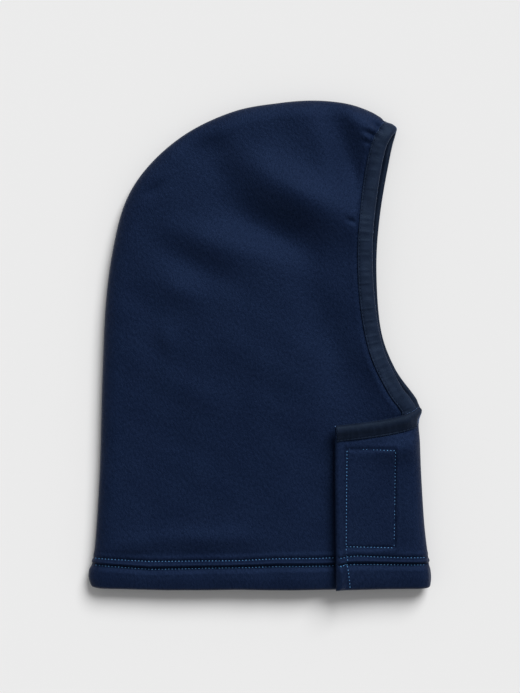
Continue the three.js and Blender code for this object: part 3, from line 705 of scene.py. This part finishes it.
def tape_rings(face, places, directions, rims, distance, seed, flat=0.0, crest=0.0):
    """Rings of the tape's section along an edge.

    rims moves and marks the rings that lie on the seam or the fold, and flat tells which are pressed flat.
    """
    p = places[:, None] + directions[:, None] * SECTION[None, :, 0, None]
    p, on_rim = rims(p)
    point, normal = face(p[..., 0], p[..., 1], on_rim)
    s, depth = SECTION[:, 0], SECTION[:, 1]
    drawn = smooth(-0.5, 3, s) * smooth(12.5, 8.2, s) * (depth < 0.5)
    proud = 0.36 * (pucker(distance, seed) - 0.4)[:, None] * drawn[None]
    wobble = 0.10 * np.sin(distance / 3.1 + seed)[:, None]
    wobble = wobble + 0.08 * np.sin(distance / 1.37 + 2 * seed)[:, None]
    out = -depth[None] + proud + wobble * drawn[None]
    out = out + np.reshape(crest, (-1, 1)) * np.exp(-(((s - 2.4) / 2.6) ** 2))[None] * (depth < 0.5)[None]
    at_brow = smooth(5, 0, distance)[:, None] * (distance[:, None] < 20)
    # At the seam the tape's end lies flush with the crown.
    flush = np.where(depth < 0.5, smooth(9.6, 3.4, s), 1)[None]
    pressed = 1 - np.reshape(flat, (-1, 1)) * (0.15 + 0.8 * smooth(0.5, 8.5, s))[None]
    out = np.where(out > 0, out * (1 - at_brow * (1 - flush)) * pressed, out)
    return point + normal * out[..., None]


def tube(rings):
    """A closed strip through rings, capped at both ends."""
    rows, around = rings.shape[:2]
    i = np.arange(rows * around).reshape(rows, around)
    side = np.stack([i[:-1], np.roll(i[:-1], -1, 1), np.roll(i[1:], -1, 1), i[1:]], -1).reshape(-1, 4)
    return rings.reshape(-1, 3), side.tolist() + [i[0][::-1].tolist(), i[-1].tolist()]


def tape_uv(distance):
    across = np.concatenate([[0], np.cumsum(np.linalg.norm(np.diff(SECTION, axis=0), axis=1))])
    return np.stack(np.broadcast_arrays(across[None], distance[:, None]), -1).reshape(-1, 2)


def stations(line, length, start, end):
    at = np.linspace(start, end, int((end - start) / TAPE_STEP) + 1)
    place = at_distance(line, length, at)
    along = at_distance(line, length, at + 1.2) - at_distance(line, length, at - 1.2)
    along /= np.linalg.norm(along, axis=1)[:, None]
    return at, place, np.stack([along[:, 1], -along[:, 0]], 1)


def along_seam(p):
    """The first ring lies along the crown seam."""
    on_rim = np.zeros(p.shape[:2], bool)
    on_rim[0] = True
    first = at_distance(seam_line, seam_length, np.maximum(SECTION[:, 0], 0))
    tangent = seam_line[1] - seam_line[0]
    tangent /= np.linalg.norm(tangent)
    p[0] = first + np.minimum(SECTION[:, 0], 0)[:, None] * tangent
    return p, on_rim


at, place, inward = stations(right_edge, right_length, 0, right_length - 2)
right_tape_rings = tape_rings(right_face, place, inward, along_seam, at, 3)
v, f = tube(right_tape_rings)
right_tape = make("right_face_binding", v, f, tape_cloth, "hood", uv=tape_uv(at))
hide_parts("face_binding")

# The left edge's tape turns at the throat fold and runs on along the top of the flap.
at, place, inward = stations(left_edge, left_length, 0, left_length)
turning = 1 - np.clip(np.linalg.norm(place - np.array(THROAT), axis=1) / 10, 0, 1)[:, None]
inward = inward * (1 - turning) + np.array([0, -1.0]) * turning
inward /= np.linalg.norm(inward, axis=1)[:, None]


def seam_to_fold(p):
    p, on_rim = along_seam(p)
    on_rim[-1] = True
    p[..., 0] += (fold_x(p[..., 1]) - THROAT[0]) * turning
    return p, on_rim


left_rings = tape_rings(left_face, place, inward, seam_to_fold, at, 5, smooth(9, 0, at[-1] - at))
inset = np.concatenate([turn(FLAP_ROUND, 22), np.arange(FLAP_ROUND + TAPE_STEP, FLAP_WIDTH + 0.3, TAPE_STEP)])
x = THROAT[0] - inset
place = np.stack([x, flap_top_y(x)], 1)
place[0, 1] = THROAT[1]
slope = (flap_top_y(x - 1) - flap_top_y(x + 1)) / 2
inward_flap = np.stack([-slope * np.minimum(1, inset / FLAP_ROUND), -np.ones(len(x))], 1)
inward_flap /= np.linalg.norm(inward_flap, axis=1)[:, None]


def from_fold(p):
    on_rim = np.zeros(p.shape[:2], bool)
    on_rim[0] = True
    p[..., 0] += (fold_x(p[..., 1]) - THROAT[0]) * (1 - np.clip(inset / 10, 0, 1))[:, None]
    return p, on_rim


flap_rings = tape_rings(flap_face, place, inward_flap, from_fold, at[-1] + inset, 5, smooth(9, 0, inset),
                        0.9 * smooth(4, 14, inset))
flap_rings[0] = (flap_rings[0] + left_rings[-1]) / 2
throat_rings = np.concatenate([left_rings[:-1], flap_rings])
v, f = tube(throat_rings)
uv = tape_uv(np.concatenate([at[:-1], at[-1] + inset]))
# The left edge's and the flap's binding use the darkened tape, which is painted shade.
throat_tape = make("left_face_and_flap_binding", v, f, shaded_tape_cloth, uv=uv)
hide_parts("face_binding", "flap_binding")

# ---------------------------------------------------------------- stitching
def resample(points, step):
    length = np.concatenate([[0], np.cumsum(np.linalg.norm(np.diff(points, axis=0), axis=1))])
    at = np.arange(step / 2, length[-1], step)
    return np.stack([np.interp(at, length, points[:, k]) for k in (0, 1)], 1)


# Along one stitch: (share of its length, share of its thickness, height in half thicknesses).
BAR_RINGS = [
    (0.0, 0.3, -1.3), (0.08, 0.7, -0.5), (0.25, 0.95, 0.05), (0.5, 1.0, 0.3),
    (0.75, 0.95, 0.05), (0.92, 0.7, -0.5), (1.0, 0.3, -1.3),
]
GAP = 0.58  # the share of the pitch between two stitches


def stitch_row(face, points, pitch, width, lift, on, seed):
    """Vertices and faces of a row of separate stitches over a line of (x, y) points."""
    r = np.random.default_rng(seed)
    fine = resample(points, pitch)
    ahead = np.vstack([fine[1:], 2 * fine[-1:] - fine[-2:-1]])
    along = ahead - fine
    length = np.linalg.norm(along, axis=1)
    along /= length[:, None]
    side = np.stack([-along[:, 1], along[:, 0]], 1)
    count = len(fine)
    reach = length * (1 - GAP) * r.uniform(0.94, 1.05, count)
    skew = r.normal(0, 0.05, count)
    thick = width * r.uniform(0.85, 1.1, count)
    sunk = -r.gamma(1.2, 0.07, count)
    rings = []
    around = 8
    angle = np.linspace(0, 2 * pi, around, endpoint=False)
    for t, size, height in BAR_RINGS:
        centre = fine + along * (t * reach)[:, None] + side * ((t - 0.5) * skew * length)[:, None]
        p, n = face(centre[:, 0], centre[:, 1], np.zeros(count, bool))
        if on is not None:
            p = p + n * on(centre[:, 0], centre[:, 1])[:, None]
        h = lift + sunk + height * thick * 0.5
        b = np.cross(n, np.stack([along[:, 0], along[:, 1], np.zeros(count)], 1))
        b /= np.linalg.norm(b, axis=1)[:, None]
        radius = thick * size / 2
        rings.append((p + n * h[:, None])[:, None] + b[:, None] * (radius[:, None] * np.cos(angle))[..., None]
                     + n[:, None] * (0.8 * radius[:, None] * np.sin(angle))[..., None])
    rings = np.array(rings).transpose(1, 0, 2, 3)
    verts, faces = [], []
    for k in range(count):
        v_, f_ = tube(rings[k])
        faces += [[i + k * len(v_) for i in quad] for quad in f_]
        verts.append(v_)
    return np.vstack(verts), faces


def line_xy(xs, y_of):
    return np.stack([xs, y_of(xs)], 1)


PITCH = 2.45
ROWS_Y = np.array([-157.0])  # about halfway between the hem's two rows
seam_at_hem = seam_x(ROWS_Y)[0]
fold_at_hem = fold_x(ROWS_Y)[0]


def left_hem_on(x, y):
    return np.minimum(0.4 * hem_relief(x, y), 0.9)


def flap_hem_on(x, y):
    from_fold_line = fold_x(y) - x
    return hem_relief(x, y) * smooth(0, 3, from_fold_line) + box_relief(x, y) * smooth(4, 10, from_fold_line)


def add_row(name, nodes, body, face, points, seed, on=None, pitch=PITCH, width=0.66, lift=0.14,
            material=blue_thread):
    v, f = stitch_row(face, points, pitch, width, lift, on, seed)
    row = make(name, v, f, material, body)
    if nodes:
        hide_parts(*nodes)
    return row


blended_rows = []
for level, (label, y_of) in enumerate((("upper", row_upper), ("lower", row_lower))):
    xs = np.linspace(seam_at_hem + 0.9, UNDERLAP_X - 1.5, 400)
    add_row(f"right_hem_stitches_{label}", [f"right_hem_stitch_{label}"], "hood", right_face,
            line_xy(xs, y_of), 11 + level, hem_relief)
    xs = np.linspace(seam_at_hem + 0.9, fold_at_hem - 0.8, 400)
    add_row(f"left_hem_stitches_{label}", [f"left_hem_stitch_{label}"], "hood", left_face,
            line_xy(xs, y_of), 21 + level, left_hem_on)
    xs = np.linspace(FLAP_LEFT_X + 2.2, fold_at_hem - 2.0, 300)
    blended_rows.append(add_row(f"flap_hem_stitches_{label}", [f"flap_hem_stitch_{label}"], None, flap_face,
                                line_xy(xs, y_of), 31 + level, flap_hem_on))

# The lower row is sewn over twice at the flap's free edge.
points = np.array([(57.4, row_lower(57.4) - 0.5), (64.5, row_lower(64.5) + 0.5)])
add_row("flap_hem_back_stitches", [], "flap", flap_face, points, 35, flap_hem_on,
        pitch=2.1, width=0.75, lift=0.35)

# The box round the hook patch isn't quite square, and its lower and left rows stand a little prouder.
corners = np.array([
    (BOX["left"] + 0.5, BOX["high"] + 0.5), (BOX["right"] + 0.5, BOX["high"] - 0.9),
    (BOX["right"] - 0.5, BOX["low"] - 0.5), (BOX["left"] - 0.1, BOX["low"] + 0.6),
])
SIDE_WIDTHS = (0.48, 0.48, 0.58, 0.6)
SIDE_LIFTS = (0.02, 0.0, 0.1, 0.1)
for k in range(4):
    a, b = corners[k], corners[(k + 1) % 4]
    points = a + (b - a) * np.linspace(0, 1 if k < 3 else 0.985, 50)[:, None]
    nodes = ["hook_patch_stitching"] if k == 0 else []
    add_row(f"hook_patch_stitches_{k + 1}", nodes, "flap", flap_face, points, 41 + k, box_relief,
            pitch=2.5, width=SIDE_WIDTHS[k], lift=SIDE_LIFTS[k])
points = np.array([(BOX["left"] - 0.2, BOX["low"] + 0.3), (63.4, -155.4), (63.9, -165.6), (65.5, -176.4)])
add_row("flap_edge_stitches", ["flap_edge_stitch"], "flap", flap_face, points, 51, flap_hem_on,
        pitch=2.5, width=0.52, lift=0.06)


def inside_face(x, y, on_rim):
    """The right panel's face, seen from inside the hood."""
    p, n = right_face(x, y, on_rim)
    return p - n * (CLOTH + 0.1), -n


box_inside = np.array([
    (BOX["left"], BOX["high"]), (BOX["right"], BOX["high"]), (BOX["right"], BOX["low"]),
    (BOX["left"], BOX["low"]), (BOX["left"], BOX["high"]),
], float)
add_row("loop_patch_stitches", ["loop_patch_stitching"], "hood", inside_face, box_inside, 55,
        material=navy_thread)


def tape_on(x, y):
    return np.full(np.shape(x), 0.62)


TAPE_ROW = 8.75  # the binding's stitching, in from its folded edge
tape_row_look = dict(on=tape_on, material=navy_thread, width=0.45, pitch=2.6)

at, place, inward = stations(right_edge, right_length, 3, right_length - 4)
add_row("right_binding_stitches", ["right_binding_stitch"], "hood", right_face,
        place + inward * TAPE_ROW, 61, **tape_row_look)
at, place, inward = stations(left_edge, left_length, 3, left_length - 11)
add_row("left_binding_stitches", ["left_binding_stitch"], "hood", left_face,
        place + inward * TAPE_ROW, 62, **tape_row_look)
keep = x < THROAT[0] - 6
place = np.stack([x, flap_top_y(x)], 1)[keep]
flap_tape_row = add_row("flap_binding_stitches", ["flap_binding_stitch"], None, flap_face,
                        (place + inward_flap[keep] * TAPE_ROW)[::-1], 63, **tape_row_look)
blended_rows.append(flap_tape_row)

# ---------------------------------------------------------------- hook and loop
def patch(name, face, depth, thickness, material, body):
    xs = np.linspace(PATCH["left"], PATCH["right"], 40)
    ys = np.linspace(PATCH["high"], PATCH["low"], 76)
    grid = np.stack(np.meshgrid(xs, ys), -1)
    x_, y_ = grid[..., 0], grid[..., 1]
    from_sides = np.minimum(x_ - PATCH["left"], PATCH["right"] - x_)
    border = np.minimum(from_sides, np.minimum(PATCH["high"] - y_, y_ - PATCH["low"]))
    p, n = face(x_, y_, np.zeros(x_.shape, bool))
    soft = 0.25 * (1 - smooth(0, 0.8, border))
    v_, f_ = shell(p - n * (depth + soft)[..., None], p - n * (depth + thickness - soft)[..., None])
    obj = make(name, v_, f_, material, body, uv=np.vstack([grid.reshape(-1, 2)] * 2))
    return obj


hook_patch = patch("hook_patch_backing", patch_face, 2.75, 0.75, hook_cloth, "flap")
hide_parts("hook_patch")
loop_patch = patch("loop_patch_backing", right_face, -0.85, 0.7, loop_cloth, "hood")
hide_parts("loop_patch")


def bristles(name, face, base, count_x, count_y, shape, width, outward, material, body, seed, jitter=0.25):
    """Rows of small bent threads standing on a patch: shape lists [sideways, height] along one thread."""
    r = np.random.default_rng(seed)
    margin = 2.6
    across = np.linspace(PATCH["left"] + margin, PATCH["right"] - margin, count_x)
    down = np.linspace(PATCH["high"] - margin, PATCH["low"] + margin, count_y)
    xs, ys = np.meshgrid(across, down)
    xs = (xs + r.uniform(-jitter, jitter, xs.shape)).ravel()
    ys = (ys + r.uniform(-jitter, jitter, ys.shape)).ravel()
    p, n = face(xs, ys, np.zeros(len(xs), bool))
    p = p - n * base
    n = n * outward
    if jitter > 0.3:
        turn_ = r.uniform(0, 2 * pi, len(xs))
    else:
        turn_ = np.where(np.arange(len(xs)) % 2, 0.0, pi) + r.normal(0, 0.2, len(xs))
    side = np.stack([np.cos(turn_), np.sin(turn_), np.zeros(len(xs))], 1)
    side -= n * (side * n).sum(1)[:, None]
    side /= np.linalg.norm(side, axis=1)[:, None]
    third = np.cross(n, side)
    scale = r.uniform(0.85, 1.15, len(xs))[:, None]
    rings = []
    for u, h, w in shape:
        c = p + side * (u * scale) + n * (h * scale)
        triangle = ((-0.5, -0.3), (0.5, -0.3), (0, 0.6))
        ring = [c + side * (w * width * a) + third * (w * width * b) for a, b in triangle]
        rings.append(np.stack(ring, 1))
    rings = np.stack(rings, 1)
    rows, around = rings.shape[1:3]
    i = np.arange(rows * around).reshape(rows, around)
    quads = np.stack([i[:-1], np.roll(i[:-1], -1, 1), np.roll(i[1:], -1, 1), i[1:]], -1).reshape(-1, 4)
    faces = (quads[None] + (np.arange(len(xs)) * rows * around)[:, None, None]).reshape(-1, 4)
    obj = make(name, rings.reshape(-1, 3), faces, material, body)
    return obj


HOOK = [(0, 0, 1), (0, 0.35, 1), (0.05, 0.62, 1), (0.2, 0.78, 1), (0.38, 0.74, 0.9), (0.46, 0.58, 0.6)]
LOOP = [(-0.35, 0, 1), (-0.45, 0.4, 1), (-0.2, 0.75, 1), (0.2, 0.78, 1), (0.45, 0.4, 1), (0.35, 0, 1)]
hooks = bristles("hooks", patch_face, 3.5, 26, 54, HOOK, 0.2, -1, hook_cloth, "flap", 71)
loops = bristles("loops", right_face, -0.85, 34, 68, LOOP, 0.16, 1, loop_cloth, "hood", 72, jitter=0.5)

# ---------------------------------------------------------------- the crown seam's allowance
ALLOWANCE_AT = np.arange(BROW_SEAM + 2, nape_distance(-153), 0.9)


def ripple(at):
    return 0.25 * np.sin(at / 4.7) + 0.15 * np.sin(at / 1.9)


place = at_distance(seam_line, seam_length, ALLOWANCE_AT)
_, away = nearest(seam_line, place[:, 0], place[:, 1])
wave = ripple(ALLOWANCE_AT)
profile = [
    (4.3, -1.0), (6.0, -1.25), (8.0, -1.25), (9.4, -1.1), (10.0, -0.5),
    (10.0, 0.5), (9.4, 1.1), (8.0, 1.25), (6.0, 1.25), (4.3, 1.0),
]
rings = np.stack([
    np.concatenate([place - away * s, (SEAM_Z + h + wave * (s - 4) / 6)[:, None]], 1)
    for s, h in profile
], 1)
v, f = tube(rings)
allowance_cloth = make("crown_seam_allowance_cloth", v, f, fleece, "hood")
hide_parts("crown_seam_allowance")


def overlock(name, s_in, s_out, height):
    """Overcast thread that wraps the allowance's cut edge."""
    at = np.arange(BROW_SEAM + 3, ALLOWANCE_AT[-1] - 1, 0.5)
    phase = np.arange(len(at)) % 4
    s = np.choose(phase, [s_in, s_out, s_out, s_in])
    z = np.choose(phase, [height, height, -height, -height])
    place = at_distance(seam_line, seam_length, at)
    _, away = nearest(seam_line, place[:, 0], place[:, 1])
    centre = np.concatenate([place - away * s[:, None], (SEAM_Z + z + ripple(at) * (s - 4) / 6)[:, None]], 1)
    ahead = np.gradient(centre, axis=0)
    ahead /= np.linalg.norm(ahead, axis=1)[:, None]
    up = np.array([0.1, 0.2, 1.0])
    a = np.cross(ahead, up)
    a /= np.linalg.norm(a, axis=1)[:, None]
    b = np.cross(ahead, a)
    angles = np.linspace(0, 2 * pi, 6, endpoint=False)
    rings = np.stack([centre + 0.2 * (a * np.cos(t) + b * np.sin(t)) for t in angles], 1)
    v_, f_ = tube(rings)
    obj = make(name, v_, f_, navy_thread, "hood")
    return obj


allowance_thread = overlock("crown_seam_overlock", 5.4, 10.1, 1.35)

# ---------------------------------------------------------------- the table, light and camera
floor_mesh = bpy.data.meshes.new("table")
floor_mesh.from_pydata([(-4, -4, 0), (4, -4, 0), (4, 4, 0), (-4, 4, 0)], [], [(0, 1, 2, 3)])
floor = bpy.data.objects.new("table", floor_mesh)
bpy.context.scene.collection.objects.link(floor)
floor.location.z = -0.0002
m, _, shader, _ = node_material("pale table")
shader.inputs["Base Color"].default_value = (0.86, 0.86, 0.86, 1)
shader.inputs["Roughness"].default_value = 0.9
shader.inputs["Specular IOR Level"].default_value = 0.1
floor_mesh.materials.append(m)

world = bpy.data.worlds.new("studio")
bpy.context.scene.world = world
world.use_nodes = True
world.node_tree.nodes["Background"].inputs["Color"].default_value = (1, 1, 1, 1)
world.node_tree.nodes["Background"].inputs["Strength"].default_value = 0.31

sun_data = bpy.data.lights.new("key", "SUN")
sun_data.energy = 3.1
sun_data.angle = radians(34)
sun = bpy.data.objects.new("key", sun_data)
sun.rotation_euler = (radians(48), 0, radians(152))
bpy.context.scene.collection.objects.link(sun)

camera_data = bpy.data.cameras.new("camera")
camera_data.sensor_fit = "HORIZONTAL"
SENSOR_WIDTH = 24
HEIGHT = 1.6  # of the camera above the table, in metres
FOCUS_HEIGHT = 0.010  # where the view's width is measured
VIEW_WIDTH = 380.9 * MM
camera_data.sensor_width = SENSOR_WIDTH
camera_data.lens = SENSOR_WIDTH * (HEIGHT - FOCUS_HEIGHT) / VIEW_WIDTH
camera = bpy.data.objects.new("camera", camera_data)
camera.location = (-0.0001, -0.0002, HEIGHT)
bpy.context.scene.collection.objects.link(camera)
bpy.context.scene.camera = camera
bpy.context.scene.view_settings.view_transform = "Standard"

# ---------------------------------------------------------------- the pieces that cross the flap's fold, with their transforms baked in
for crossing in (left_cloth, throat_tape, *blended_rows):
    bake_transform(crossing)
